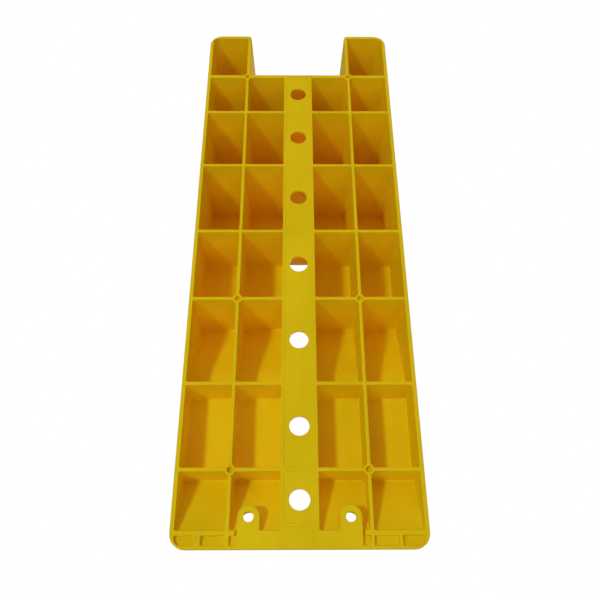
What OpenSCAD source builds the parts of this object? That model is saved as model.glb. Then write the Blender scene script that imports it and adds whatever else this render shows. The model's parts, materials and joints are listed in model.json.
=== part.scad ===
// Three-level wheel ramp for levelling a parked caravan or motorhome.
// Open-bottomed ribbed moulding: two side walls, stepped decks, a full-length spine channel
// and a grid of ribs. Stations s run from the toe's front edge (s = 0) to the tall end.
// X points right seen from the toe, Y from the toe to the tall end, Z up from the ground.

/* [Overall] */
// Width over the side walls, at the ground
ramp_w = 200; // [190:1:230]
// Radius of the two toe corners in plan
toe_corner_r = 12; // [10:0.5:14]
// Radius of the two outer corners at the tall end in plan
tail_corner_r = 13.5; // [11:0.5:16]
// Inside corner radius where the skirt turns a corner
inner_corner_r = 6; // [4:0.5:7]

/* [Runs along the ramp] */
// From the front edge to the rib under the foot of level 1
toe_run = 60.7; // [55:0.1:70]
// Length of levels 1, 2 and 3
level_run = [73.5, 74, 73]; // [65:0.5:85]
// Length of the slopes from level 1 to 2 and from level 2 to 3
slope_run = [82.5, 81]; // [70:0.5:95]
// Length of the wheel stop's slope
stop_run = 53; // [45:0.5:60]
// Length of the two prongs beyond the tail wall's middle
prong_run = 64.3; // [55:0.1:75]

/* [Heights] */
// Height of the nose at the front edge
nose_h = 5; // [4:0.5:6]
// Height of the deck above the toe crossbar
bar_h = 7.1; // [6.5:0.1:8]
// Heights of levels 1, 2 and 3
level_h = [36, 64.7, 91.5]; // [30:0.1:100]
// Distance from the rib under the foot of level 1 to the start of the level
foot_offset = 5.8; // [5:0.1:10]
// Distance from the rib at the end of each level to the start of the next slope
slope_offset = 20; // [5:0.5:25]
// Overall height
ramp_h = 113; // [108:0.5:125]

/* [Walls and ribs] */
// Thickness of the decks, measured upright
deck_t = 3; // [2.5:0.1:3.5]
// Thickness of the side walls and the prong end walls, at the ground
skirt_t = 3.5; // [3:0.1:4.5]
// Thickness of the nose wall
nose_t = 2.6; // [2:0.1:3.5]
// Thickness of the cross ribs and mid ribs at their lower edges
rib_t = 3; // [2.5:0.1:3.5]
// Thickness of the tail wall, across the end of the stop
tail_t = 4; // [3.5:0.1:5]
// Thickness of the walls on the inner side of each prong
prong_t = 3.8; // [3.5:0.1:5]
// Half width of the notch between the prongs
notch_half_w = 53.2; // [45:0.1:55]
// Distance of the mid ribs from the centre line
mid_rib_x = 55.8; // [55:0.1:58]
// Draft of every inside face, in degrees
draft = 1; // [0.5:0.1:1.5]
// Draft of the outside faces, in degrees
outer_draft = 0.8; // [0:0.1:1.2]

/* [Spine channel] */
// Half width over the channel's walls, at the ground
spine_half_w = 15.2; // [13:0.1:18]
// Thickness of the channel's walls
spine_wall_t = 2.5; // [2:0.1:3]
// Thickness of the channel's floor
floor_t = 3; // [2.5:0.1:3.5]
// Diameter of the round holes in the channel's floor
floor_hole_d = 16.8; // [12:0.1:20]
// Stations of the round holes, one in each row
floor_hole_s = [37, 96.7, 175.4, 253.7, 331.4, 409.2, 470.9]; // [30:0.1:480]
// Thickness of the webs across the channel, at the floor
web_t = 3.2; // [2.5:0.1:4]

/* [Toe fittings] */
// Distance of the lug holes from the centre line
lug_x = 39.8; // [39:0.1:41]
// Distance of the lug holes from the front edge
lug_s = 24; // [20:0.5:28]
// Half width and end radius of the lugs
lug_r = 8.7; // [8:0.1:9.2]
// Diameter of the bolt hole in each lug
lug_hole_d = 8; // [6:0.1:9]
// Half width of the recess above each lug
recess_r = 5.9; // [5:0.1:6.2]
// Thickness of the toe crossbar
bar_t = 3.7; // [3:0.1:4]
// From the nose wall to the toe crossbar
bar_gap = 7.6; // [7.2:0.1:9]
// Gap between each lug and the toe crossbar
lug_gap = 1.5; // [0.5:0.1:3]
// Distances of the short toe ribs from the centre line
stub_x = [55.8, 77.6]; // [53:0.1:82]

/* [Bosses] */
// Outside diameter of the bosses
boss_d = 8.8; // [8:0.1:10]
// Diameter of the blind socket in each boss
boss_hole_d = 5; // [3:0.1:5.5]
// Depth of the blind sockets
boss_hole_depth = 4; // [2:0.5:18]

/* [Deck grip] */
// Height of the grip bars on the decks
grip_h = 1.6; // [1:0.1:2]
// Width of a grip bar at its foot
grip_w = 4.2; // [3:0.1:5]
// Number of grip bars on each level and slope
grip_count = 6; // [3:1:7]
// Distance of the bars' ends from the channel's wall and from the skirt
grip_margin = 5; // [3:0.5:10]
// Gap between the lugs and the first bar
grip_gap = 2; // [1:0.5:6]

/* [Hidden] */
LEFT = -1;
RIGHT = 1;
ROWS = 7;
RIBS = 6;
BOSS_RIBS = [1, 3, 7];
body_yellow = [0.80, 0.64, 0.05];
rib_yellow = [0.84, 0.66, 0.08];
deck_yellow = [0.87, 0.70, 0.06];

function sides(name) = [str(name, "_left"), str(name, "_right")];
function numbered(name, n) = [for (i = [1:n]) str(name, "_", i)];
function numbered_sides(name, n) = [for (i = [1:n], side = ["_left", "_right"]) str(name, "_", i, side)];

deck_names = ["deck_toe", "deck_level_1", "deck_slope_1", "deck_level_2", "deck_slope_2",
              "deck_level_3", "deck_stop"];
boss_names = ["boss_toe", "boss_middle", "boss_tail"];
side_wall_names = sides("side_wall");
lug_names = sides("lug");
crossbar_names = sides("toe_crossbar");
spine_wall_names = sides("spine_wall");
mid_rib_names = sides("mid_rib");
prong_cap_names = sides("prong_cap");
prong_end_names = sides("prong_end_wall");
prong_inner_names = sides("prong_inner_wall");
floor_names = numbered("spine_floor", ROWS);

lean = tan(draft);
outer_lean = tan(outer_draft);
half_w = ramp_w / 2;
inner_half_w = half_w - skirt_t;
bar_mid_s = nose_t + bar_gap + bar_t / 2;
bar_back_s = bar_mid_s + bar_t / 2;
// Half the width of the tail wall's share that goes with each tail boss
block_half_w = boss_d / 2 + 0.6;

// Stations of the crossbar, the six cross ribs and the tail wall, each at mid thickness
rib_s = [bar_mid_s,
    toe_run,
    toe_run + level_run[0],
    toe_run + level_run[0] + slope_run[0],
    toe_run + level_run[0] + slope_run[0] + level_run[1],
    toe_run + level_run[0] + slope_run[0] + level_run[1] + slope_run[1],
    toe_run + level_run[0] + slope_run[0] + level_run[1] + slope_run[1] + level_run[2],
    toe_run + level_run[0] + slope_run[0] + level_run[1] + slope_run[1] + level_run[2] + stop_run];
rib_thick = [bar_t, rib_t, rib_t, rib_t, rib_t, rib_t, rib_t, tail_t];
tail_s = rib_s[ROWS];
ramp_l = tail_s + prong_run;
tail_front_s = tail_s - tail_t / 2;
tail_back_s = tail_s + tail_t / 2;
end_inner_s = ramp_l - skirt_t;

// Stations and heights where the deck's upper face bends. Each level is flat, from just past its
// first rib to a little beyond its last.
deck_line = [[0, nose_h], [rib_s[0], bar_h],
    [rib_s[1] + foot_offset, level_h[0]], [rib_s[2] + slope_offset, level_h[0]],
    [rib_s[3], level_h[1]], [rib_s[4] + slope_offset, level_h[1]],
    [rib_s[5], level_h[2]], [rib_s[6] + slope_offset, level_h[2]],
    [rib_s[7], ramp_h], [ramp_l, ramp_h]];

function top_z(s) = lookup(s, deck_line);
function under_z(s) = top_z(s) - deck_t;

// Slope of the deck just beyond station s. No leaning face drifts further than face_drift.
face_drift = ramp_h * lean;
function slope_beyond(s, way) = (top_z(s + way * face_drift) - top_z(s)) / (way * face_drift);

// Where an upright face that starts at station s and leans meets a line drop below the deck's top.
// way is 1 for a face that leans towards the tall end, and -1 for one that leans to the toe.
function face_point(s, way, drop) =
    let (z = (top_z(s) - drop) / (1 - slope_beyond(s, way) * lean * way))
    [s + way * lean * z, z];

// The deck line's bends between two stations, lowered by drop
function bends(s0, s1, drop) = [for (p = deck_line) if (p[0] > s0 && p[0] < s1) p - [0, drop]];
function reversed(points) = [for (i = [len(points) - 1:-1:0]) points[i]];

row_front = [for (row = [1:ROWS]) rib_s[row - 1] + rib_thick[row - 1] / 2];
row_back = [for (row = [1:ROWS]) rib_s[row] - rib_thick[row] / 2];

// Side outline of the hollow between two cross ribs, up to the deck's lower face
function row_section(row) =
    let (s0 = row_front[row - 1], s1 = row_back[row - 1])
    concat([[s0, 0], [s1, 0], face_point(s1, -1, deck_t)], reversed(bends(s0, s1, deck_t)),
        [face_point(s0, 1, deck_t)]);

// An outline in stations and heights, pushed along X
module across(points, x0, x1)
    translate([x0, 0, 0]) rotate([90, 0, 90]) linear_extrude(x1 - x0) polygon(points);

// An outline in X and height, pushed along the ramp
module along(points, s0, s1)
    translate([0, s1, 0]) rotate([90, 0, 0]) linear_extrude(s1 - s0) polygon(points);

// Moves a part built in stations to the ramp's own frame, on the side asked for
module placed(side = RIGHT)
    translate([0, -ramp_l / 2, 0]) mirror([side == LEFT ? 1 : 0, 0, 0]) children();

// Rectangle with its two far corners rounded, in plan
module round_ended(x0, x1, s0, s1, r0, r1) {
    difference() {
        translate([x0, s0]) square([x1 - x0, s1 - s0]);
        translate([x1 - r0, s0]) square(r0);
        translate([x1 - r1, s1 - r1]) square(r1);
    }
    intersection() {
        translate([x1 - r0, s0 + r0]) circle(r0, $fn = 96);
        translate([x1 - r0, s0]) square(r0);
    }
    intersection() {
        translate([x1 - r1, s1 - r1]) circle(r1, $fn = 96);
        translate([x1 - r1, s1 - r1]) square(r1);
    }
}

// Everything below the deck's upper face, between two planes across X
module below_top(x0, x1) {
    outline = concat([[0, 0], [nose_h * outer_lean, nose_h]], bends(0, tail_s, 0),
        [[tail_s, ramp_h], [ramp_l - ramp_h * outer_lean, ramp_h], [ramp_l, 0]]);
    across(outline, x0, x1);
}

// The bay between the channel's wall and the side wall, full height
module bay(s0, s1)
    along([[spine_half_w, 0], [inner_half_w, 0],
        [inner_half_w - ramp_h * lean, ramp_h], [spine_half_w + ramp_h * lean, ramp_h]], s0, s1);

// Space inside the skirt, with drafted faces and rounded corners
module inside_skirt() {
    intersection() {
        linear_extrude(ramp_h + 1)
            round_ended(0, inner_half_w, nose_t, end_inner_s, inner_corner_r, inner_corner_r);
        along([[0, -1], [inner_half_w, -1], [inner_half_w, 0],
            [inner_half_w - (ramp_h + 1) * lean, ramp_h + 1], [0, ramp_h + 1]], 0, ramp_l);
        across([[nose_t, -1], [end_inner_s, -1], [end_inner_s, 0],
            [end_inner_s - (ramp_h + 1) * lean, ramp_h + 1],
            [nose_t + (ramp_h + 1) * lean, ramp_h + 1], [nose_t, 0]], 0, half_w);
    }
}

// One boss column at rib line i, as high as the lowest part of the deck above it. Where it is
// used to cut its neighbours it starts a little below them.
module boss_column(i, below = 0)
    translate([mid_rib_x, rib_s[i], -below])
        cylinder(h = under_z(rib_s[i] - boss_d / 2) + below, d = boss_d, $fn = 64);

module lug_plan() {
    translate([lug_x - lug_r, nose_t]) square([2 * lug_r, lug_s - nose_t]);
    translate([lug_x, lug_s]) circle(lug_r, $fn = 96);
}

module side_wall(side) color(body_yellow) placed(side) {
    corner_x = half_w - tail_corner_r;
    difference() {
        intersection() {
            below_top(corner_x, half_w);
            linear_extrude(ramp_h)
                round_ended(0, half_w, 0, ramp_l, toe_corner_r, tail_corner_r);
            along([[corner_x, 0], [half_w, 0],
                [half_w - ramp_h * outer_lean, ramp_h], [corner_x, ramp_h]], 0, ramp_l);
        }
        inside_skirt();
    }
}

module nose_wall() color(body_yellow) placed() {
    corner_x = half_w - tail_corner_r;
    back = face_back_of_nose(0);
    across([[0, 0], [nose_t, 0], back, [nose_h * outer_lean, nose_h]], -corner_x, corner_x);
}

// Where the nose wall's back face meets a line drop below the deck's top
function face_back_of_nose(drop) =
    let (m = (bar_h - nose_h) / rib_s[0], z = (nose_h - drop + m * nose_t) / (1 - m * lean))
    [nose_t + lean * z, z];

module toe_pad() color(body_yellow) placed() {
    pad_x = lug_x - lug_r;
    across([[nose_t, 0], [bar_back_s, 0], face_point(bar_back_s, 1, 0), [rib_s[0], bar_h],
        face_back_of_nose(0)], -pad_x, pad_x);
}

module toe_crossbar(side) color(rib_yellow) placed(side) {
    bar_front_s = bar_mid_s - bar_t / 2;
    bar_inner_x = lug_x + lug_r + lug_gap;
    m = (bar_h - nose_h) / rib_s[0];
    front_z = (nose_h - deck_t + m * bar_front_s) / (1 + m * lean);
    intersection() {
        across([[bar_front_s, 0], [bar_back_s, 0], face_point(bar_back_s, 1, deck_t),
            [rib_s[0], bar_h - deck_t], [bar_front_s - lean * front_z, front_z]], bar_inner_x, half_w);
        bay(0, toe_run);
    }
    for (x = stub_x)
        across([[nose_t, 0], [bar_front_s, 0], [bar_front_s - lean * front_z, front_z],
            face_back_of_nose(deck_t)], x - rib_t / 2, x + rib_t / 2);
}

module lug(side) color(body_yellow) placed(side)
    difference() {
        intersection() {
            linear_extrude(ramp_h) lug_plan();
            across([[nose_t, 0], face_back_of_nose(0), [rib_s[0], bar_h],
                [rib_s[1], top_z(rib_s[1])], [rib_s[1], 0]], 0, half_w);
        }
        translate([lug_x, lug_s, floor_t]) cylinder(h = ramp_h, r = recess_r, $fn = 64);
        translate([lug_x - recess_r, lug_s - 2 * recess_r, floor_t])
            cube([2 * recess_r, 2 * recess_r, ramp_h]);
        translate([lug_x, lug_s, -1]) cylinder(h = floor_t + 2, d = lug_hole_d, $fn = 64);
    }

// Raised bars across one deck, as short trapezia standing on its upper face
module grip_bars(row) {
    s0 = row == 1 ? lug_s + lug_r + grip_gap : rib_s[row - 1];
    s1 = row == ROWS ? tail_front_s : rib_s[row];
    count = row == 1 ? 2 : row == ROWS ? grip_count - 2 : grip_count;
    pitch = (s1 - s0) / count;
    for (i = [0:count - 1]) {
        s = s0 + (i + 0.5) * pitch;
        a = s - grip_w / 2;
        b = s + grip_w / 2;
        across([[a, top_z(a)], [b, top_z(b)], [b - grip_h / 2, top_z(b) + grip_h],
            [a + grip_h / 2, top_z(a) + grip_h]], spine_half_w + grip_margin, inner_half_w - grip_margin);
    }
}

module deck(row, side) color(deck_yellow) placed(side) {
    s0 = row == 1 ? nose_t : rib_s[row - 1];
    s1 = rib_s[row];
    front = row == 1
        ? [face_back_of_nose(0), face_back_of_nose(deck_t)]
        : [[s0, top_z(s0)], [s0, under_z(s0)]];
    back = row == ROWS
        ? [face_point(tail_front_s, -1, deck_t), face_point(tail_front_s, -1, 0)]
        : [[s1, under_z(s1)], [s1, top_z(s1)]];
    difference() {
        intersection() {
            across(concat(front, bends(s0, s1, deck_t), back, reversed(bends(s0, s1, 0))), 0, half_w);
            bay(0, ramp_l);
        }
        if (row == 1) {
            linear_extrude(ramp_h) lug_plan();
            across([[0, 0], [bar_back_s, 0], [bar_back_s + lean * bar_h * 2, bar_h * 2], [0, bar_h * 2]],
                0, lug_x);
        }
        if (row == 1) inside_out_corner();
    }
    grip_bars(row);
}

// The toe corner outside the skirt's inner face, which belongs to the side wall
module inside_out_corner()
    difference() {
        translate([inner_half_w - inner_corner_r, nose_t, -1])
            cube([inner_corner_r + 1, inner_corner_r, bar_h * 2]);
        inside_skirt();
    }

module cross_rib(i, side) color(rib_yellow) placed(side) {
    s0 = rib_s[i] - rib_t / 2;
    s1 = rib_s[i] + rib_t / 2;
    difference() {
        intersection() {
            across(concat([[s0, 0], [s1, 0], face_point(s1, 1, deck_t)],
                bends(s0, s1, deck_t), [face_point(s0, -1, deck_t)]), 0, half_w);
            bay(0, ramp_l);
        }
        if (i == BOSS_RIBS[0] || i == BOSS_RIBS[1]) boss_column(i, 1);
    }
}

module mid_rib(side) color(rib_yellow) placed(side)
    for (row = [1:ROWS])
        difference() {
            intersection() {
                across(row_section(row), 0, half_w);
                along([[mid_rib_x - rib_t / 2, 0], [mid_rib_x + rib_t / 2, 0],
                    [mid_rib_x + rib_t / 2 + ramp_h * lean, ramp_h],
                    [mid_rib_x - rib_t / 2 - ramp_h * lean, ramp_h]], 0, ramp_l);
            }
            for (i = BOSS_RIBS) boss_column(i, 1);
        }

// The tail wall's section, between two planes across X
module tail_section(x0, x1)
    across([[tail_front_s, 0], [tail_back_s, 0], [tail_back_s + ramp_h * lean, ramp_h],
        [tail_s, ramp_h], face_point(tail_front_s, -1, 0)], x0, x1);

module tail_wall() color(rib_yellow) placed()
    difference() {
        intersection() {
            tail_section(-half_w, half_w);
            along([[-inner_half_w, 0], [inner_half_w, 0], [inner_half_w - ramp_h * lean, ramp_h],
                [-inner_half_w + ramp_h * lean, ramp_h]], 0, ramp_l);
        }
        for (x = [-mid_rib_x, mid_rib_x])
            translate([x - block_half_w, tail_front_s - tail_t, -1])
                cube([2 * block_half_w, 4 * tail_t, ramp_h + 2]);
    }

module spine_wall(side) color(body_yellow) placed(side) {
    inner = spine_half_w - spine_wall_t;
    intersection() {
        along([[inner, 0], [spine_half_w, 0], [spine_half_w + ramp_h * lean, ramp_h],
            [inner + ramp_h * lean, ramp_h]], 0, ramp_l);
        across(concat([[bar_back_s, 0], face_point(bar_back_s, 1, 0)],
            bends(bar_back_s, tail_front_s, 0),
            [face_point(tail_front_s, -1, 0), [tail_front_s, 0]]), 0, half_w);
    }
}

// The channel's floor between two rib lines, with one round hole in the middle of its row
module spine_floor(row) color(body_yellow) placed() {
    inner = spine_half_w - spine_wall_t;
    s0 = row == 1 ? bar_back_s : rib_s[row - 1];
    s1 = row == ROWS ? tail_front_s : rib_s[row];
    front = row == 1 ? lean * floor_t : 0;
    back = row == ROWS ? lean * floor_t : 0;
    difference() {
        intersection() {
            across([[s0, 0], [s1, 0], [s1 - back, floor_t], [s0 + front, floor_t]], -half_w, half_w);
            along([[-inner, 0], [inner, 0], [inner + lean * floor_t, floor_t],
                [-inner - lean * floor_t, floor_t]], 0, ramp_l);
        }
        translate([0, floor_hole_s[row - 1], -1]) cylinder(h = floor_t + 2, d = floor_hole_d, $fn = 96);
    }
}

module spine_webs() color(rib_yellow) placed() {
    inner = spine_half_w - spine_wall_t;
    for (i = [1:RIBS]) {
        z = under_z(rib_s[i]);
        taper = lean * (z - floor_t);
        intersection() {
            across([[rib_s[i] - web_t / 2, floor_t], [rib_s[i] + web_t / 2, floor_t],
                [rib_s[i] + web_t / 2 - taper / 2, z], [rib_s[i] - web_t / 2 + taper / 2, z]],
                -half_w, half_w);
            along([[-inner, 0], [inner, 0], [inner + ramp_h * lean, ramp_h],
                [-inner - ramp_h * lean, ramp_h]], 0, ramp_l);
        }
    }
}

module prong_cap(side) color(deck_yellow) placed(side) {
    prong_in_x = notch_half_w + prong_t;
    under = ramp_h - deck_t;
    intersection() {
        across([[tail_back_s + under * lean, under], [end_inner_s - under * lean, under],
            [end_inner_s - ramp_h * lean, ramp_h], [tail_back_s + ramp_h * lean, ramp_h]], 0, half_w);
        along([[prong_in_x, 0], [inner_half_w, 0], [inner_half_w - ramp_h * lean, ramp_h],
            [prong_in_x + ramp_h * lean, ramp_h]], 0, ramp_l);
        inside_skirt();
    }
}

module prong_end_wall(side) color(body_yellow) placed(side) {
    prong_in_x = notch_half_w + prong_t;
    corner_x = half_w - tail_corner_r;
    intersection() {
        across([[end_inner_s, 0], [ramp_l, 0], [ramp_l - ramp_h * outer_lean, ramp_h],
            [end_inner_s - ramp_h * lean, ramp_h]], 0, half_w);
        along([[prong_in_x, 0], [corner_x, 0], [corner_x, ramp_h],
            [prong_in_x + ramp_h * lean, ramp_h]], 0, ramp_l);
    }
}

module prong_inner_wall(side) color(body_yellow) placed(side) {
    prong_in_x = notch_half_w + prong_t;
    difference() {
        intersection() {
            across([[tail_back_s, 0], [ramp_l, 0], [ramp_l - ramp_h * outer_lean, ramp_h],
                [tail_back_s + ramp_h * lean, ramp_h]], 0, half_w);
            along([[notch_half_w, 0], [prong_in_x, 0], [prong_in_x + ramp_h * lean, ramp_h],
                [notch_half_w - 2 * ramp_h * lean, ramp_h]], 0, ramp_l);
        }
        boss_column(ROWS, 1);
    }
}

// A boss and its blind hole. The tail bosses bring the tail wall's share around them.
module boss(i, side) color(rib_yellow) placed(side)
    difference() {
        union() {
            boss_column(i);
            if (i == ROWS) tail_section(mid_rib_x - block_half_w, mid_rib_x + block_half_w);
        }
        translate([mid_rib_x, rib_s[i], -1]) cylinder(h = boss_hole_depth + 1, d = boss_hole_d, $fn = 48);
    }

nose_wall();
toe_pad();
tail_wall();
spine_webs();
for (k = [0, 1]) {
    side = k == 0 ? LEFT : RIGHT;
    side_wall(side);
    lug(side);
    toe_crossbar(side);
    spine_wall(side);
    mid_rib(side);
    prong_cap(side);
    prong_end_wall(side);
    prong_inner_wall(side);
    for (i = [1:RIBS])
        cross_rib(i, side);
    for (row = [1:ROWS])
        deck(row, side);
    for (b = [0:2])
        boss(BOSS_RIBS[b], side);
}
for (row = [1:ROWS])
    spine_floor(row);
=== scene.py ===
"""Looks of the three-level wheel ramp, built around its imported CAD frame.

The ramp is one moulding. It is carved here as a whole, so that every fillet runs through, and is then
cut into one closed piece for each CAD node. Lengths are in millimetres until a piece is made.
s is the station along the ramp from the toe's front edge, x the distance from the centre line, and
z the height above the ground.
"""
import json
import math

import bmesh
import bpy
from mathutils import Matrix, Vector
from mathutils.bvhtree import BVHTree
from mathutils.geometry import barycentric_transform

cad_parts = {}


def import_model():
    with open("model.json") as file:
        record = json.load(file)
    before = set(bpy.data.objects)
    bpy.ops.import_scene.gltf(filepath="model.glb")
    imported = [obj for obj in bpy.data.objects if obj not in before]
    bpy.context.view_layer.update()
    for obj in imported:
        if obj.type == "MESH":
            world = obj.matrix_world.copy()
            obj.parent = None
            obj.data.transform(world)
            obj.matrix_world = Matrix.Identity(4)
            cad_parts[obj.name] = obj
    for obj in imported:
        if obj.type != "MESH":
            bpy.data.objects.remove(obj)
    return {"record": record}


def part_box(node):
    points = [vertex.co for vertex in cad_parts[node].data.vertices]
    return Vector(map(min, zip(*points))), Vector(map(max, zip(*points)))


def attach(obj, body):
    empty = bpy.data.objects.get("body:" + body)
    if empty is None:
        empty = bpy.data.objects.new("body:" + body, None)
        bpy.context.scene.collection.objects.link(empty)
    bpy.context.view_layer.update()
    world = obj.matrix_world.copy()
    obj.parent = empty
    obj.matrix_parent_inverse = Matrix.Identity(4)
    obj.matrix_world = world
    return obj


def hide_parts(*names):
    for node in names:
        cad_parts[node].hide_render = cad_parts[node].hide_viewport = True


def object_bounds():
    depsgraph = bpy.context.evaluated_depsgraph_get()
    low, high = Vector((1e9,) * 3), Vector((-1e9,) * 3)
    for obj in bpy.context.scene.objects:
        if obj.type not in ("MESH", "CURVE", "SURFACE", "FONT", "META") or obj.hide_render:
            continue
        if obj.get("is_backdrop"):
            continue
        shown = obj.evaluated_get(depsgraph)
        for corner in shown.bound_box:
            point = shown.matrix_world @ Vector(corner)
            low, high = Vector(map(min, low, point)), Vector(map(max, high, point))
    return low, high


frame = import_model()
cad_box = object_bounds()

MM = 0.001
SIDES = {"left": -1, "right": 1}
DECKS = ["deck_toe", "deck_level_1", "deck_slope_1", "deck_level_2", "deck_slope_2", "deck_level_3",
         "deck_stop"]
BOSS_RIBS = {"boss_toe": 1, "boss_middle": 3, "boss_tail": 7}
ROWS = len(DECKS)
TOE_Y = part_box("side_wall_right")[0].y


def box_mm(node):
    """Lowest and highest x, s and z of a CAD node."""
    return [(p.x / MM, (p.y - TOE_Y) / MM, p.z / MM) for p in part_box(node)]


def bores(prefix):
    """The record's bore mounts whose names start with prefix, as (x, s, radius)."""
    found = [m for m in frame["record"]["mounts"] if m["name"].startswith(prefix)]
    return [(m["pos_m"][0] / MM, (m["pos_m"][1] - TOE_Y) / MM, m["dims"]["r_mm"]) for m in found]


# Sizes that the frame gives
HALF_W = box_mm("side_wall_right")[1][0]
RAMP_L = box_mm("side_wall_right")[1][1]
RAMP_H = box_mm("side_wall_right")[1][2]
DECK_T = RAMP_H - box_mm("prong_cap_right")[0][2]
TROUGH_HALF_W = box_mm("spine_wall_right")[0][0]
BAR_BACK_S = box_mm("spine_floor_1")[0][1]
TAIL_FRONT_S = box_mm("spine_floor_7")[1][1]
RIB_LINES = [box_mm(f"spine_floor_{row}")[1][1] for row in range(1, ROWS)]
LEVEL_UNDERS = [box_mm(name + "_right")[0][2] for name in ("deck_slope_1", "deck_slope_2", "deck_stop")]

# Sizes of the moulding that its boxes don't show
LEAN = math.tan(math.radians(1.0))
OUTER_LEAN = math.tan(math.radians(0.8))
SKIRT_T, NOSE_T, RIB_T, BAR_T, TAIL_T, PRONG_T = 3.5, 2.6, 3.0, 3.7, 4.0, 3.8
SPINE_WALL_T, FLOOR_T, WEB_T = 2.5, 3.0, 3.2
NOSE_H, BAR_H = 5.0, 7.1
FOOT_OFFSET, SLOPE_OFFSET = 5.8, 20.0
MID_RIB_X, NOTCH_HALF_W = 55.8, 53.2
STUB_X = (MID_RIB_X, MID_RIB_X + 21.8)
LUG_X, LUG_S, LUG_R, LUG_GAP, RECESS_R = 39.8, 24.0, 8.7, 1.5, 5.9
BOSS_R, BOSS_DRAFT, BOSS_DEPTH = 4.4, 0.2, 4.0
GRIP_H, GRIP_W, GRIP_LEAN, GRIP_COUNT, GRIP_MARGIN = 1.6, 4.2, 0.5, 6, 5.0
CHANNEL_STEP = 0.4
TOE_BAND, TOE_BAND_DEPTH = (16.7, 18.7), 0.35
PAD_PANEL_X, PAD_PANEL_S, PAD_PANEL_DEPTH = (11.5, 29.0), (2.4, 8.4), 0.3

SPINE_HALF_W = TROUGH_HALF_W + SPINE_WALL_T
INNER_HALF_W = HALF_W - SKIRT_T
BAR_S = BAR_BACK_S - BAR_T / 2
TAIL_S = TAIL_FRONT_S + TAIL_T / 2
TAIL_BACK_S = TAIL_FRONT_S + TAIL_T
RIB_S = [BAR_S, *RIB_LINES, TAIL_S]
LEVEL_STARTS = (RIB_S[1] + FOOT_OFFSET, RIB_S[3], RIB_S[5])
LEVEL_ENDS = [RIB_S[rib] + SLOPE_OFFSET for rib in (2, 4, 6)]
KNOTS = [(BAR_S, BAR_H)]
for start, end, under in zip(LEVEL_STARTS, LEVEL_ENDS, LEVEL_UNDERS):
    KNOTS += [(start, under + DECK_T), (end, under + DECK_T)]
KNOTS.append((TAIL_S, RAMP_H))

# Roundings
ARC_STEPS, EDGE_STEPS = 6, 4
TIP_ROUND, TOP_ROUND, SLIT_R = 0.4, 1.2, 0.4
CELL_CORNER_R, CEILING_R, TOE_CELL_R = 1.2, 1.3, 0.8
TOE_CORNER_R, TAIL_CORNER_R, INNER_CORNER_R = 12.0, 13.5, 6.0
BLEND = 9.0

# How far solids reach past or into each other, so that no two faces lie in one plane
OVERLAP = 0.5
PAST_FACE, PAST_DECK, PAST_END = 1.0, 3.0, 5.0
BELOW_GROUND, ABOVE_DECK = 3.0, 6.0
HAIR = 0.01


# ---------------------------------------------------------------- heights along the ramp
def soft_ramp(u):
    """0 below a bend and u above it, with a round bend between."""
    if u <= -BLEND:
        return 0.0
    return u if u >= BLEND else (u + BLEND) ** 2 / (4 * BLEND)


def top_z(s):
    """Height of the decks' upper face."""
    points = [(0.0, NOSE_H), *KNOTS, (RAMP_L, RAMP_H)]
    slopes = [(b[1] - a[1]) / (b[0] - a[0]) for a, b in zip(points, points[1:])]
    z = NOSE_H + slopes[0] * s
    for (knot_s, _), before, after in zip(KNOTS, slopes, slopes[1:]):
        z += (after - before) * soft_ramp(s - knot_s)
    return min(z, RAMP_H)


def below_top(drop):
    """A height that follows the decks' upper face, this far below it."""
    return lambda s: top_z(s) - drop


def level(z):
    """A height that is the same all along the ramp."""
    return lambda s: z


def bend_stations(s0, s1):
    """Stations between s0 and s1 where the round bends of the deck need points."""
    steps = [BLEND * k / 4 for k in range(-4, 5)]
    found = sorted({round(knot_s + step, 3) for knot_s, _ in KNOTS for step in steps})
    return [s for s in found if s0 < s < s1]


# ---------------------------------------------------------------- solids
class Plan:
    """A rectangle with rounded corners, whose four sides lean in as they rise above its base.

    r and lean go by corner and side: r = (low x low s, high x low s, low x high s, high x high s) and
    lean = (low x, high x, low s, high s).
    """

    def __init__(self, x, s, r, lean=(LEAN,) * 4, base=level(0), stations=()):
        self.x, self.s, self.lean, self.base = x, s, lean, base
        self.r = r if isinstance(r, tuple) else (r,) * 4
        self.stations = list(stations)

    def spots(self):
        """Each point of the outline: its corner and angle, or its side and station."""
        turn = [90 * k / ARC_STEPS for k in range(ARC_STEPS + 1)] if any(self.r) else [0]
        for a in turn:
            yield 1, 0, a - 90
        for s in self.stations:
            yield 1, None, s
        for a in turn:
            yield 1, 1, a
        for a in turn:
            yield 0, 1, a + 90
        for s in reversed(self.stations):
            yield 0, None, s
        for a in turn:
            yield 0, 0, a + 180

    def place(self, spot, shrink, rise):
        """Where a spot is when its sides have risen this far and the outline is shrunk."""
        high_x, high_s, value = spot
        inward = -1 if high_x else 1
        side_x = self.x[high_x] + inward * self.lean[high_x] * rise
        if high_s is None:
            return side_x + inward * shrink, value
        r = self.r[high_x + 2 * high_s]
        side_s = self.s[high_s] + (-1 if high_s else 1) * self.lean[2 + high_s] * rise
        angle = math.radians(value)
        return (side_x + inward * r + (r - shrink) * math.cos(angle),
                side_s + (-r if high_s else r) + (r - shrink) * math.sin(angle))

    def ring(self, height, shrink):
        """The outline at a height. Place and height depend on each other, so each point settles."""
        points = []
        for spot in self.spots():
            x, s = self.place(spot, shrink, 0)
            for _ in range(4):
                x, s = self.place(spot, shrink, height(s) - self.base(s))
            points.append((x, s, height(s)))
        return points


def quarter(radius):
    """(along, across) of a quarter round, from its start to its end."""
    angles = [math.pi / 2 * k / EDGE_STEPS for k in range(EDGE_STEPS + 1)]
    return [(radius * (1 - math.cos(a)), radius * (1 - math.sin(a))) for a in angles]


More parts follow.
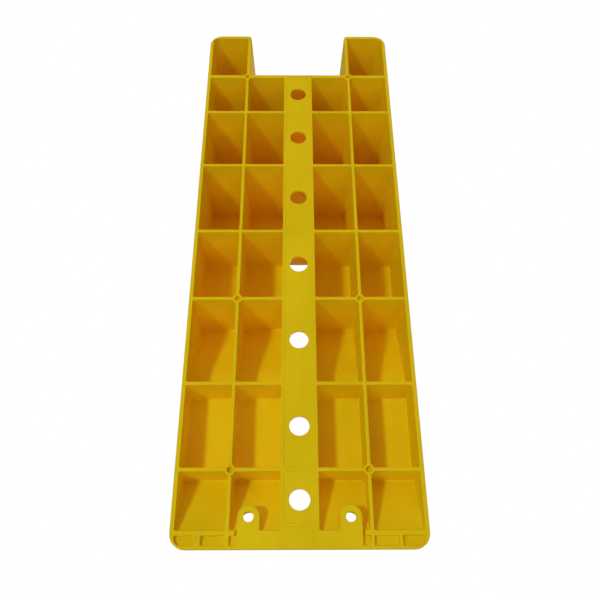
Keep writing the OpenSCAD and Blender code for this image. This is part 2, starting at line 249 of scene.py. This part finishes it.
def mouth(radius):
    """Levels of a cutter that enters from the ground and rounds the edge it makes."""
    return [(level(-PAST_FACE), -radius)] + [(level(z), -out) for z, out in quarter(radius)]


def foot(radius):
    """Levels at the ground of a solid with a rounded lower edge."""
    return [(level(z), inset) for z, inset in quarter(radius)]


def crown(radius, drop):
    """Levels that round off the top of a solid, drop below the decks' upper face."""
    return [(below_top(drop + down), inset) for inset, down in quarter(radius)]


def rim(radius):
    """Levels of a cutter that leaves through the deck and rounds the edge it makes."""
    return [(below_top(down), -out) for out, down in quarter(radius)] + [(below_top(-PAST_DECK), -radius)]


def solid(name, rings):
    """A closed solid through rings of points. Each ring goes up one side and down the other."""
    n = len(rings[0])
    mesh = bpy.data.meshes.new(name)
    faces = []
    for k in range(len(rings) - 1):
        low, high = k * n, (k + 1) * n
        faces += [(low + i, low + (i + 1) % n, high + (i + 1) % n, high + i) for i in range(n)]
    last = (len(rings) - 1) * n
    for i in range(n // 2 - 1):
        rung = (i, i + 1, n - 2 - i, n - 1 - i)
        faces.append(tuple(reversed(rung)))
        faces.append(tuple(last + j for j in rung))
    mesh.from_pydata([p for ring in rings for p in ring], [], faces)
    obj = bpy.data.objects.new(name, mesh)
    bpy.context.scene.collection.objects.link(obj)
    return obj


def drafted(name, plan, levels):
    """A solid over a plan: levels are (height, how far the outline is shrunk)."""
    return solid(name, [plan.ring(height, shrink) for height, shrink in levels])


def round_solid(name, x, s, levels, steps=48):
    """A turned solid: levels are (height, radius)."""
    rings = []
    for height, radius in levels:
        angles = [2 * math.pi * (k + 0.5) / steps - math.pi / 2 for k in range(steps)]
        points = [(x + radius * math.cos(a), s + radius * math.sin(a)) for a in angles]
        rings.append([(px, ps, height(ps)) for px, ps in points])
    return solid(name, rings)


def widened(radius, levels):
    """Levels for a turned solid of this radius, from the levels of a drafted one."""
    return [(height, radius - shrink) for height, shrink in levels]


def joined(name, objects):
    """One object that holds the meshes of solids which don't touch."""
    verts, faces = [], []
    for obj in objects:
        start = len(verts)
        verts += [v.co.copy() for v in obj.data.vertices]
        faces += [[start + i for i in p.vertices] for p in obj.data.polygons]
        discard(obj)
    mesh = bpy.data.meshes.new(name)
    mesh.from_pydata(verts, [], faces)
    obj = bpy.data.objects.new(name, mesh)
    bpy.context.scene.collection.objects.link(obj)
    return obj


def discard(obj):
    """Removes an object and its mesh."""
    mesh = obj.data
    bpy.data.objects.remove(obj)
    bpy.data.meshes.remove(mesh)


def combined(obj, operation, tool):
    """The mesh of obj with tool cut from it, added to it or kept from it."""
    modifier = obj.modifiers.new(operation, "BOOLEAN")
    modifier.operation = operation
    modifier.solver = "MANIFOLD"
    modifier.object = tool
    depsgraph = bpy.context.evaluated_depsgraph_get()
    mesh = bpy.data.meshes.new_from_object(obj.evaluated_get(depsgraph))
    obj.modifiers.remove(modifier)
    return mesh


def apply(obj, operation, tool):
    """Changes obj by tool, which is used up."""
    old, obj.data = obj.data, combined(obj, operation, tool)
    bpy.data.meshes.remove(old)
    discard(tool)


# ---------------------------------------------------------------- the moulding
def blank():
    """The moulding's outer form, still without hollows."""
    corners = (TOE_CORNER_R, TOE_CORNER_R, TAIL_CORNER_R, TAIL_CORNER_R)
    stations = bend_stations(TOE_CORNER_R + 1, RAMP_L - TAIL_CORNER_R - 4)
    plan = Plan((-HALF_W, HALF_W), (0, RAMP_L), corners, (OUTER_LEAN,) * 4, stations=stations)
    return drafted("moulding", plan, foot(TIP_ROUND) + crown(TOP_ROUND, 0))


def cell(name, x, s, r=CELL_CORNER_R, ceiling_r=CEILING_R):
    """One hollow of the underside, up to the deck above it."""
    reach = (r if isinstance(r, float) else max(r)) + RAMP_H * LEAN + OVERLAP
    plan = Plan(x, s, r, stations=bend_stations(s[0] + reach, s[1] - reach))
    return drafted(name, plan, mouth(TIP_ROUND) + crown(ceiling_r, DECK_T))


def mirrored(x):
    """A span of x on the right side and its mirror image on the left, by side."""
    return {1: x, -1: (-x[1], -x[0])}


def cells():
    """The hollows of the seven rows, of the toe and of the prongs."""
    fronts = [BAR_BACK_S] + [s + RIB_T / 2 for s in RIB_S[1:ROWS]]
    backs = [s - RIB_T / 2 for s in RIB_S[1:ROWS]] + [TAIL_FRONT_S]
    columns = [(SPINE_HALF_W, MID_RIB_X - RIB_T / 2), (MID_RIB_X + RIB_T / 2, INNER_HALF_W)]
    found = []
    for side in SIDES.values():
        for x in columns:
            for s in zip(fronts, backs):
                found.append(cell("cell", mirrored(x)[side], s))
        found += toe_cells(side) + [prong_cell(side)]
    return joined("cells", found)


def toe_cells(side):
    """The shallow hollows from the nose to the toe crossbar. The lug's block fills part of the first."""
    half_stub = RIB_T / 2
    s = (NOSE_T, BAR_S - BAR_T / 2)
    first = mirrored((LUG_X, STUB_X[0] - half_stub))[side]
    near = mirrored((STUB_X[0] + half_stub, STUB_X[1] - half_stub))[side]
    far = mirrored((STUB_X[1] + half_stub, INNER_HALF_W))[side]
    corner = (TOE_CELL_R, INNER_CORNER_R) if side == 1 else (INNER_CORNER_R, TOE_CELL_R)
    return [cell("toe_cell", first, s, TOE_CELL_R, TOE_CELL_R),
            cell("toe_cell", near, s, TOE_CELL_R, TOE_CELL_R),
            cell("toe_cell", far, s, (*corner, TOE_CELL_R, TOE_CELL_R), TOE_CELL_R)]


def bar_gaps():
    """The slits between the lugs and the ends of the toe crossbar."""
    s = (BAR_S - BAR_T / 2 - OVERLAP, BAR_BACK_S + OVERLAP)
    x = mirrored((LUG_X, LUG_X + LUG_R + LUG_GAP))
    return joined("bar_gaps", [cell("gap", x[side], s, SLIT_R, SLIT_R) for side in SIDES.values()])


def prong_cell(side):
    """The hollow of a prong, rounded at the ramp's outer corner."""
    x = mirrored((NOTCH_HALF_W + PRONG_T, INNER_HALF_W))[side]
    far = (CELL_CORNER_R, INNER_CORNER_R) if side == 1 else (INNER_CORNER_R, CELL_CORNER_R)
    return cell("prong_cell", x, (TAIL_BACK_S, RAMP_L - SKIRT_T), (CELL_CORNER_R, CELL_CORNER_R, *far))


def trough():
    """The spine's open channel, cut from above."""
    corner_r, floor_r = 1.5, 1.2
    plan = Plan((-TROUGH_HALF_W, TROUGH_HALF_W), (BAR_BACK_S, TAIL_FRONT_S), corner_r,
                (-LEAN, -LEAN, LEAN, LEAN), stations=bend_stations(BAR_BACK_S + 2, TAIL_FRONT_S - 4))
    floor = [(level(FLOOR_T + up), inset) for up, inset in quarter(floor_r)]
    return drafted("trough", plan, floor + rim(1.0))


def panel(x, s, depth):
    """A shallow recess in the lower face."""
    corner_r, edge = 0.6, 0.1
    levels = [(level(-PAST_FACE), -edge), (level(0), -edge), (level(depth), edge)]
    return drafted("panel", Plan(x, s, corner_r), levels)


def panels():
    """The channel's floor lies a little above the ribs' lower edges, from one rib line to the next. The
    toe pad has a band before it and a shallow panel at each side."""
    fronts = [TOE_BAND[1] + CHANNEL_STEP] + [s + WEB_T / 2 for s in RIB_S[1:ROWS]]
    backs = [s - WEB_T / 2 for s in RIB_S[1:ROWS]] + [TAIL_FRONT_S]
    channel = (-TROUGH_HALF_W, TROUGH_HALF_W)
    found = [panel(channel, s, CHANNEL_STEP) for s in zip(fronts, backs)]
    found.append(panel(channel, TOE_BAND, TOE_BAND_DEPTH))
    pads = mirrored(PAD_PANEL_X)
    found += [panel(pads[side], PAD_PANEL_S, PAD_PANEL_DEPTH) for side in SIDES.values()]
    return joined("panels", found)


def webs():
    """Thin walls across the channel at the rib lines, a deck's thickness lower than the decks."""
    corner_r, top_r = 0.5, 0.45
    half_w = TROUGH_HALF_W + PAST_FACE
    found = []
    for s in RIB_S[1:ROWS]:
        top = top_z(s) - DECK_T
        plan = Plan((-half_w, half_w), (s - WEB_T / 2, s + WEB_T / 2), corner_r,
                    (-LEAN, -LEAN, LEAN / 2, LEAN / 2), base=level(FLOOR_T))
        cap = [(level(top - down), inset) for inset, down in quarter(top_r)]
        found.append(drafted("web", plan, [(level(FLOOR_T - PAST_FACE), 0)] + cap))
    return joined("webs", found)


def lug_blocks():
    """Round-ended blocks behind the nose, for the bolt holes."""
    found = []
    for side in SIDES.values():
        plan = Plan(mirrored((LUG_X - LUG_R, LUG_X + LUG_R))[side], (NOSE_T - 1, LUG_S + LUG_R),
                    (OVERLAP, OVERLAP, LUG_R - HAIR, LUG_R - HAIR), (-LEAN,) * 4)
        found.append(drafted("lug_block", plan, foot(TIP_ROUND) + [(below_top(DECK_T / 2), 0)]))
    return joined("lug_blocks", found)


def boss_columns():
    """Round columns at rib crossings, from the ground to inside the deck."""
    found = []
    for index in BOSS_RIBS.values():
        for side in SIDES.values():
            levels = foot(TIP_ROUND) + [(below_top(DECK_T / 2), -BOSS_DRAFT)]
            found.append(round_solid("column", side * MID_RIB_X, RIB_S[index], widened(BOSS_R, levels)))
    return joined("boss_columns", found)


def grip_bars():
    """Low bars across the wheel path. The toe row starts behind the lugs, and the last row is shorter."""
    end_r, top_r, sunk = 1.6, 0.5, 1.0
    found = []
    bar_x = mirrored((SPINE_HALF_W + GRIP_MARGIN, INNER_HALF_W - GRIP_MARGIN))
    for row in range(1, ROWS + 1):
        s0 = LUG_S + LUG_R + 2 if row == 1 else RIB_S[row - 1]
        s1 = TAIL_FRONT_S if row == ROWS else RIB_S[row]
        count = {1: 2, ROWS: GRIP_COUNT - 2}.get(row, GRIP_COUNT)
        pitch = (s1 - s0) / count
        for i in range(count):
            s = s0 + (i + 0.5) * pitch
            for side in SIDES.values():
                bar_s = (s - GRIP_W / 2, s + GRIP_W / 2)
                plan = Plan(bar_x[side], bar_s, end_r, (GRIP_LEAN,) * 4, base=top_z)
                found.append(drafted("bar", plan, [(below_top(sunk), 0)] + crown(top_r, -GRIP_H)))
    return joined("grip_bars", found)


def notch():
    """The open bay between the prongs, with flared ends."""
    fillet, flare = 3.0, 4.0
    turn = [math.radians(90 * k / ARC_STEPS) for k in range(ARC_STEPS + 1)]

    def ring(z, out):
        x = NOTCH_HALF_W - 2 * LEAN * z + out
        front = TAIL_BACK_S + LEAN * z - out
        end = RAMP_L - OUTER_LEAN * z - flare
        r, f = fillet + out, flare - out
        side = [(x - r + r * math.sin(a), front + r - r * math.cos(a)) for a in turn]
        side += [(x + f - f * math.cos(a), end + f * math.sin(a)) for a in turn]
        side.append((x + f, RAMP_L + PAST_END))
        return [(px, ps, z) for px, ps in side] + [(-px, ps, z) for px, ps in reversed(side)]

    low = [ring(-PAST_FACE, TIP_ROUND)] + [ring(z, out) for z, out in quarter(TIP_ROUND)]
    high = [ring(RAMP_H - down, out) for out, down in quarter(TOP_ROUND)]
    return solid("notch", [*low, *high, ring(RAMP_H + 2 * PAST_FACE, TOP_ROUND)])


def socket(x, s, radius):
    """A blind hole in a boss, with a softened mouth."""
    return round_solid("socket", x, s, widened(radius, mouth(TIP_ROUND) + [(level(BOSS_DEPTH), 0)]))


def through_hole(x, s, radius):
    """A hole through a floor, with softened edges."""
    upper = [(level(FLOOR_T - down), -out) for out, down in quarter(TIP_ROUND)]
    levels = mouth(TIP_ROUND) + upper + [(level(FLOOR_T + PAST_FACE), -TIP_ROUND)]
    return round_solid("through_hole", x, s, widened(radius, levels), 72)


def cut_holes(body):
    """The spine's holes, the bosses' sockets and the lugs' bolt holes, where the record has bores."""
    found = [through_hole(*bore) for bore in bores("spine_hole")]
    found += [socket(*bore) for bore in bores("boss_socket")]
    apply(body, "DIFFERENCE", joined("holes", found))
    apply(body, "DIFFERENCE", joined("bolt_holes", [through_hole(*bore) for bore in bores("lug_bolt")]))


def lug_recesses():
    """Slots above the lugs, open to the deck's upper face."""
    front_r, edge_r = 1.5, 0.8
    back_r = RECESS_R - HAIR
    s = (LUG_S - 2 * RECESS_R, LUG_S + RECESS_R)
    floor = [(level(FLOOR_T + up), inset) for up, inset in quarter(edge_r)]
    found = []
    for side in SIDES.values():
        x = mirrored((LUG_X - RECESS_R, LUG_X + RECESS_R))[side]
        plan = Plan(x, s, (front_r, front_r, back_r, back_r), (0,) * 4)
        found.append(drafted("recess", plan, floor + rim(edge_r)))
    return joined("recesses", found)


def carved():
    """The whole moulding, from its outline to its holes."""
    body = blank()
    apply(body, "DIFFERENCE", cells())
    apply(body, "DIFFERENCE", bar_gaps())
    apply(body, "DIFFERENCE", panels())
    apply(body, "DIFFERENCE", trough())
    apply(body, "UNION", webs())
    apply(body, "UNION", lug_blocks())
    apply(body, "UNION", boss_columns())
    apply(body, "UNION", grip_bars())
    apply(body, "DIFFERENCE", notch())
    apply(body, "DIFFERENCE", lug_recesses())
    cut_holes(body)
    return body


# ---------------------------------------------------------------- one piece for each CAD node
SKIN = 0.05
FILLET_ROOM = CELL_CORNER_R + 0.3
TROUGH_ROOM, FLOOR_ROOM, CLEAR = 1.6, 1.3, 0.1
IN_FRONT = -2
CRUMB = 2.0
SMOOTH_DEGREES = 32
NEAR, SAME_WAY = 0.02, 0.99

# Leans of the regions: walls and the channel widen upwards, bays narrow, and ribs across do both
WIDEN = (-LEAN, -LEAN, 0, 0)
NARROW = (LEAN, LEAN, 0, 0)
ACROSS = (LEAN, LEAN, -LEAN, -LEAN)


def space_over(plan, low=level(-BELOW_GROUND), high=below_top(-ABOVE_DECK)):
    """The space over a plan, to cut one piece out of the moulding."""
    return drafted("region", plan, [(low, 0), (high, 0)])


def region(x, s, lean=(LEAN,) * 4, **heights):
    """A block of space with leaning sides."""
    return space_over(Plan(x, s, 0, lean, stations=bend_stations(s[0] + 3, s[1] - 3)), **heights)


def regions():
    """(CAD node, the space that holds its piece), in the order in which the pieces are cut off."""
    ceiling = below_top(DECK_T + CEILING_R + CLEAR)
    floor_top = level(FLOOR_T + FLOOR_ROOM)
    trough_x = (SKIN - TROUGH_HALF_W, TROUGH_HALF_W - SKIN)
    bay_x = (SPINE_HALF_W + SKIN, INNER_HALF_W - SKIN)
    row_ends = [0, *RIB_S[1:ROWS], TAIL_S]
    nose_back = NOSE_T + SKIN
    end_front = RAMP_L - SKIRT_T - SKIN
    corner_x = HALF_W - TAIL_CORNER_R
    past_tail = RAMP_L + PAST_END

    for name, index in BOSS_RIBS.items():
        for word, side in SIDES.items():
            levels = [(level(-2), BOSS_R + SKIN), (level(0), BOSS_R + SKIN), (ceiling, BOSS_R + 4 * SKIN)]
            yield f"{name}_{word}", round_solid("region", side * MID_RIB_X, RIB_S[index], levels)
    yield "nose_wall", region((-corner_x, corner_x), (IN_FRONT, nose_back), (0, 0, 0, -LEAN))
    for word, side in SIDES.items():
        lug_x = mirrored((LUG_X - LUG_R - SKIN, LUG_X + LUG_R + SKIN))[side]
        corners = (OVERLAP, OVERLAP, LUG_R, LUG_R)
        plan = Plan(lug_x, (0, LUG_S + LUG_R + SKIN), corners, (-LEAN,) * 4)
        yield f"lug_{word}", space_over(plan)
    yield "toe_pad", region((-LUG_X, LUG_X), (0, BAR_BACK_S + TROUGH_ROOM), (0, 0, 0, -LEAN))
    tail_s = (TAIL_FRONT_S - TROUGH_ROOM, TAIL_BACK_S + SKIN)
    yield "tail_wall", region((-bay_x[1], bay_x[1]), tail_s, ACROSS)
    web_blocks = [region(trough_x, (s - WEB_T, s + WEB_T), WIDEN, low=floor_top) for s in RIB_S[1:ROWS]]
    yield "spine_webs", joined("region", web_blocks)
    for row, ends in enumerate(zip(row_ends, row_ends[1:]), 1):
        yield f"spine_floor_{row}", region(trough_x, ends, WIDEN, high=floor_top)
    for word, side in SIDES.items():
        cap_x = mirrored((NOTCH_HALF_W + PRONG_T + SKIN, bay_x[1]))[side]
        yield f"prong_cap_{word}", region(cap_x, (TAIL_S, end_front), low=ceiling)
    for name, ends in zip(DECKS, zip(row_ends, row_ends[1:])):
        for word, side in SIDES.items():
            yield f"{name}_{word}", region(mirrored(bay_x)[side], ends, NARROW, low=ceiling)
    for word, side in SIDES.items():
        bar_x = mirrored((LUG_X, bay_x[1]))[side]
        corner = (OVERLAP, INNER_CORNER_R) if side == 1 else (INNER_CORNER_R, OVERLAP)
        plan = Plan(bar_x, (nose_back, BAR_BACK_S + SKIN), (*corner, OVERLAP, OVERLAP), ACROSS)
        yield f"toe_crossbar_{word}", space_over(plan)
    for index in range(1, ROWS):
        half = RIB_T / 2 + SKIN
        s = (RIB_S[index] - half, RIB_S[index] + half)
        for word, side in SIDES.items():
            yield f"cross_rib_{index}_{word}", region(mirrored(bay_x)[side], s, ACROSS)
    for word, side in SIDES.items():
        half = RIB_T / 2 + FILLET_ROOM
        rib_x = mirrored((MID_RIB_X - half, MID_RIB_X + half))[side]
        yield f"mid_rib_{word}", region(rib_x, (0, TAIL_S), WIDEN)
    for word, side in SIDES.items():
        wall_x = mirrored((0, SPINE_HALF_W + FILLET_ROOM))[side]
        yield f"spine_wall_{word}", region(wall_x, (0, TAIL_S), WIDEN)
        end_x = mirrored((0, corner_x))[side]
        yield f"prong_end_wall_{word}", region(end_x, (end_front, past_tail), (0, 0, -LEAN, 0))
        inner_x = mirrored((0, NOTCH_HALF_W + PRONG_T + FILLET_ROOM))[side]
        yield f"prong_inner_wall_{word}", region(inner_x, (TAIL_S, past_tail), WIDEN)
        outer_x = mirrored((0, HALF_W + PAST_END))[side]
        yield f"side_wall_{word}", region(outer_x, (-PAST_END, past_tail), (0,) * 4)


def moulding_normals(body):
    """A lookup of the whole moulding's smooth normals, so that no join shows between its pieces."""
    mesh = body.data
    mesh.polygons.foreach_set("use_smooth", [True] * len(mesh.polygons))
    mesh.set_sharp_from_angle(angle=math.radians(SMOOTH_DEGREES))
    modifier = body.modifiers.new("normals", "WEIGHTED_NORMAL")
    modifier.keep_sharp = True
    smooth = bpy.data.meshes.new_from_object(body.evaluated_get(bpy.context.evaluated_depsgraph_get()))
    body.modifiers.remove(modifier)
    points = [v.co.copy() for v in smooth.vertices]
    normals = [n.vector.copy() for n in smooth.corner_normals]
    smooth.calc_loop_triangles()
    triangles = [(tuple(t.vertices), tuple(t.loops)) for t in smooth.loop_triangles]
    tree = BVHTree.FromPolygons(points, [t[0] for t in triangles], all_triangles=True)

    def lookup(point, facing):
        best, fit = None, SAME_WAY
        for _, normal, index, _ in tree.find_nearest_range(point, NEAR):
            if normal.dot(facing) > fit:
                best, fit = index, normal.dot(facing)
        if best is None:
            return facing
        corners, loops = triangles[best]
        found = barycentric_transform(point, *[points[i] for i in corners], *[normals[i] for i in loops])
        return found.normalized() if found.dot(facing) > 0.5 and found.length < 2 else facing

    return lookup


def loose_parts(form):
    """The groups of joined vertices."""
    left = set(form.verts)
    while left:
        part, front = [], [left.pop()]
        while front:
            vertex = front.pop()
            part.append(vertex)
            near = {edge.other_vert(vertex) for edge in vertex.link_edges} & left
            left -= near
            front += near
        yield part


def volume(part):
    """Volume inside the faces of one loose part."""
    total = 0.0
    for face in {face for vertex in part for face in vertex.link_faces}:
        first, *others = [vertex.co for vertex in face.verts]
        total += sum(first.dot(b.cross(c)) for b, c in zip(others, others[1:])) / 6
    return total


def drop_crumbs(mesh):
    """Removes the crumbs that a cut leaves where two faces all but meet."""
    form = bmesh.new()
    form.from_mesh(mesh)
    crumbs = [vertex for part in list(loose_parts(form)) if volume(part) < CRUMB for vertex in part]
    bmesh.ops.delete(form, geom=crumbs, context="VERTS")
    form.to_mesh(mesh)
    form.free()


def finished_piece(name, mesh, lookup):
    """A closed piece in metres that stands for its CAD node."""
    mesh.name = name
    drop_crumbs(mesh)
    normals = []
    for polygon in mesh.polygons:
        normals += [lookup(mesh.vertices[i].co, polygon.normal) for i in polygon.vertices]
    mesh.transform(Matrix.Translation((0, TOE_Y, 0)) @ Matrix.Scale(MM, 4))
    mesh.polygons.foreach_set("use_smooth", [True] * len(mesh.polygons))
    mesh.normals_split_custom_set(normals)
    piece = bpy.data.objects.new(name, mesh)
    bpy.context.scene.collection.objects.link(piece)
    return piece


def split(body):
    """Cuts the moulding into one piece for each CAD node."""
    lookup = moulding_normals(body)
    pieces = {}
    for node, space in regions():
        pieces[node] = finished_piece(node + "_shape", combined(body, "INTERSECT", space), lookup)
        apply(body, "DIFFERENCE", space)
    discard(body)
    return pieces


# ---------------------------------------------------------------- materials
class Graph:
    """Short words for building a material's nodes."""

    def __init__(self, name):
        self.material = bpy.data.materials.new(name)
        self.material.use_nodes = True
        self.tree = self.material.node_tree
        self.shader = self.tree.nodes["Principled BSDF"]
        self.place = self.tree.nodes.new("ShaderNodeTexCoord").outputs["Object"]

    def link(self, output, socket):
        self.tree.links.new(output, socket)

    def noise(self, scale, detail=3.0, stretch=(1, 1, 1)):
        """Noise from 0 to 1, scale cells to the metre."""
        mapping = self.tree.nodes.new("ShaderNodeMapping")
        mapping.inputs["Scale"].default_value = stretch
        self.link(self.place, mapping.inputs["Vector"])
        node = self.tree.nodes.new("ShaderNodeTexNoise")
        node.inputs["Scale"].default_value = scale
        node.inputs["Detail"].default_value = detail
        self.link(mapping.outputs["Vector"], node.inputs["Vector"])
        return node.outputs["Fac"]

    def remap(self, value, low, high, to_low, to_high):
        """value from low..high brought to to_low..to_high, and no further."""
        node = self.tree.nodes.new("ShaderNodeMapRange")
        node.clamp = True
        numbers = {"From Min": low, "From Max": high, "To Min": to_low, "To Max": to_high}
        for word, number in numbers.items():
            node.inputs[word].default_value = number
        self.link(value, node.inputs["Value"])
        return node.outputs["Result"]

    def math(self, operation, a, b):
        node = self.tree.nodes.new("ShaderNodeMath")
        node.operation = operation
        for socket, value in zip(node.inputs, (a, b)):
            if isinstance(value, (int, float)):
                socket.default_value = value
            else:
                self.link(value, socket)
        return node.outputs["Value"]

    def mix(self, factor, a, b):
        node = self.tree.nodes.new("ShaderNodeMix")
        node.data_type = "RGBA"
        for socket, value in ((node.inputs[0], factor), (node.inputs[6], a), (node.inputs[7], b)):
            if isinstance(value, (tuple, float)):
                socket.default_value = value
            else:
                self.link(value, socket)
        return node.outputs[2]

    def bump(self, height, strength, distance, below=None):
        node = self.tree.nodes.new("ShaderNodeBump")
        node.inputs["Strength"].default_value = strength
        node.inputs["Distance"].default_value = distance
        self.link(height, node.inputs["Height"])
        if below is not None:
            self.link(below, node.inputs["Normal"])
        return node.outputs["Normal"]


def moulded_yellow(name, color, grain):
    """Satin plastic, yellow right through, with clouds, flow streaks, a fine grain and light scuffs."""
    g = Graph(name)
    pale = (color[0] * 1.06, color[1] * 1.12, color[2] * 1.5, 1)
    deep = (color[0] * 0.94, color[1] * 0.98, color[2] * 0.9, 1)
    rubbed = (color[0] * 1.05, color[1] * 1.08, color[2] + 0.03, 1)
    clouds = g.noise(14, 4)
    streaks = g.noise(60, 2, (1, 0.12, 1))
    tint = g.remap(g.math("ADD", clouds, g.math("MULTIPLY", streaks, 0.5)), 0.5, 1.0, 0, 1)
    base = g.mix(tint, deep, pale)
    scuffs = g.remap(g.noise(420, 5, (1, 0.35, 1)), 0.62, 0.74, 0, 1)
    patches = g.remap(g.noise(26, 2), 0.5, 0.68, 0, 1)
    worn = g.math("MULTIPLY", scuffs, patches)
    g.link(g.mix(g.math("MULTIPLY", worn, 0.35), base, rubbed), g.shader.inputs["Base Color"])
    rough = g.remap(g.noise(90, 4), 0.3, 0.7, 0.40, 0.52)
    g.link(g.math("ADD", rough, g.math("MULTIPLY", worn, 0.12)), g.shader.inputs["Roughness"])
    waves = g.bump(g.noise(38, 1), 0.12, 0.0006)
    fine = g.bump(g.noise(2600, 2), grain, 0.00006, waves)
    g.link(fine, g.shader.inputs["Normal"])
    g.shader.inputs["IOR"].default_value = 1.49
    g.shader.inputs["Specular IOR Level"].default_value = 0.08
    return g.material


# ---------------------------------------------------------------- studio
CAMERA_AT = Vector((0.0044, -0.3573, -0.5355))
CAMERA_AIM = Vector((-0.0010, -0.0662, 0.0))
CAMERA_ROLL = math.radians(-0.29)
LENS, SENSOR_W, NEAREST = 40.18, 36, 0.01
WHITE = (1, 1, 1, 1)
SKY_COLOR, SKY_LIGHT = (1, 0.97, 0.9, 1), 0.24
FLOOR_COLOR, FLOOR_GLOW = (0.45, 0.45, 0.44, 1), 0.74
DIFFUSE_BOUNCES = 12

# Place and width in metres, power in watts, and colour
LAMPS = {
    "key": ((1.70, -0.88, -3.3), 0.42, 52, (0.585, 0.86, 0.35)),
    "warm_bounce": ((0, 1.2, -1.9), 3.0, 12, (1, 0.45, 0.1)),
    "toe_fill": ((-1.0, -11.8, -7.4), 8.0, 275, (1, 0.79, 0.5)),
    "top": ((-1.0, 2.0, 4.7), 4.0, 240, (1, 1, 1)),
}


def camera():
    """Below the ramp and before its toe, looking up along the underside."""
    forward = (CAMERA_AIM - CAMERA_AT).normalized()
    right = forward.cross(Vector((0, 1, 0))).normalized()
    up = right.cross(forward)
    turned = math.cos(CAMERA_ROLL) * right + math.sin(CAMERA_ROLL) * up
    up = turned.cross(forward)
    data = bpy.data.cameras.new("camera")
    data.lens = LENS
    data.sensor_width = SENSOR_W
    data.clip_start = NEAREST
    obj = bpy.data.objects.new("camera", data)
    axes = Matrix((turned, up, -forward)).transposed().to_4x4()
    obj.matrix_world = Matrix.Translation(CAMERA_AT) @ axes
    bpy.context.scene.collection.objects.link(obj)
    bpy.context.scene.camera = obj


def lamp(name, at, size, watts, color):
    """A round lamp that faces the ramp's middle."""
    data = bpy.data.lights.new(name, "AREA")
    data.shape = "DISK"
    data.size = size
    data.energy = watts
    data.color = color
    obj = bpy.data.objects.new(name, data)
    obj.location = at
    obj.rotation_euler = (-Vector(at)).to_track_quat("-Z", "Y").to_euler()
    bpy.context.scene.collection.objects.link(obj)


def world():
    """White behind everything, and a weaker even light from all round."""
    sky = bpy.data.worlds.new("studio")
    bpy.context.scene.world = sky
    sky.use_nodes = True
    tree = sky.node_tree
    seen = tree.nodes["Background"]
    seen.inputs["Color"].default_value = WHITE
    seen.inputs["Strength"].default_value = 1.0
    lit = tree.nodes.new("ShaderNodeBackground")
    lit.inputs["Color"].default_value = SKY_COLOR
    lit.inputs["Strength"].default_value = SKY_LIGHT
    path = tree.nodes.new("ShaderNodeLightPath")
    mixer = tree.nodes.new("ShaderNodeMixShader")
    tree.links.new(path.outputs["Is Camera Ray"], mixer.inputs[0])
    tree.links.new(lit.outputs[0], mixer.inputs[1])
    tree.links.new(seen.outputs[0], mixer.inputs[2])
    tree.links.new(mixer.outputs[0], tree.nodes["World Output"].inputs["Surface"])


def floor_material():
    """Pale studio floor, seen only from above."""
    g = Graph("studio_floor")
    g.shader.inputs["Base Color"].default_value = FLOOR_COLOR
    g.shader.inputs["Roughness"].default_value = 0.9
    g.shader.inputs["Emission Color"].default_value = WHITE
    g.shader.inputs["Emission Strength"].default_value = FLOOR_GLOW
    clear = g.tree.nodes.new("ShaderNodeBsdfTransparent")
    facing = g.tree.nodes.new("ShaderNodeNewGeometry")
    mixer = g.tree.nodes.new("ShaderNodeMixShader")
    g.link(facing.outputs["Backfacing"], mixer.inputs[0])
    g.link(g.shader.outputs[0], mixer.inputs[1])
    g.link(clear.outputs[0], mixer.inputs[2])
    g.link(mixer.outputs[0], g.tree.nodes["Material Output"].inputs["Surface"])
    return g.material


def floor():
    """A wide sheet just under the ramp. It takes no part in the light that falls on the ramp."""
    half, gap = 12.0, 0.0002
    corners = [(-half, -half, 0), (half, -half, 0), (half, half, 0), (-half, half, 0)]
    mesh = bpy.data.meshes.new("floor")
    mesh.from_pydata(corners, [], [(0, 1, 2, 3)])
    obj = bpy.data.objects.new("floor", mesh)
    obj.location.z = -gap
    mesh.materials.append(floor_material())
    obj.visible_shadow = False
    obj.visible_diffuse = False
    obj.visible_glossy = False
    bpy.context.scene.collection.objects.link(obj)
    obj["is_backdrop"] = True


def studio():
    """The look of white, the world, the floor and the lamps."""
    bpy.context.scene.view_settings.view_transform = "Standard"
    world()
    floor()
    for name, settings in LAMPS.items():
        lamp(name, *settings)
    bpy.context.scene.cycles.diffuse_bounces = DIFFUSE_BOUNCES


# ---------------------------------------------------------------- the ramp
def dress(pieces):
    """Each piece rides with the ramp, stands for its CAD node and takes its slot's material."""
    colors = {m["slot"]: m["base_color"] for m in frame["record"]["materials"]}
    grains = {"body_plastic": 0.12, "deck_plastic": 0.2}
    materials = {slot: moulded_yellow(slot, tuple(color), grains[slot]) for slot, color in colors.items()}
    slots = {part["node"]: part["material_slot"] for part in frame["record"]["subparts"]}
    for node, piece in pieces.items():
        piece.data.materials.clear()
        piece.data.materials.append(materials[slots[node]])
        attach(piece, "root")
        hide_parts(node)


dress(split(carved()))
camera()
studio()

boxes = {"cad": cad_box, "visual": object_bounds()}
{name: [list(corner) for corner in box] for name, box in boxes.items()}
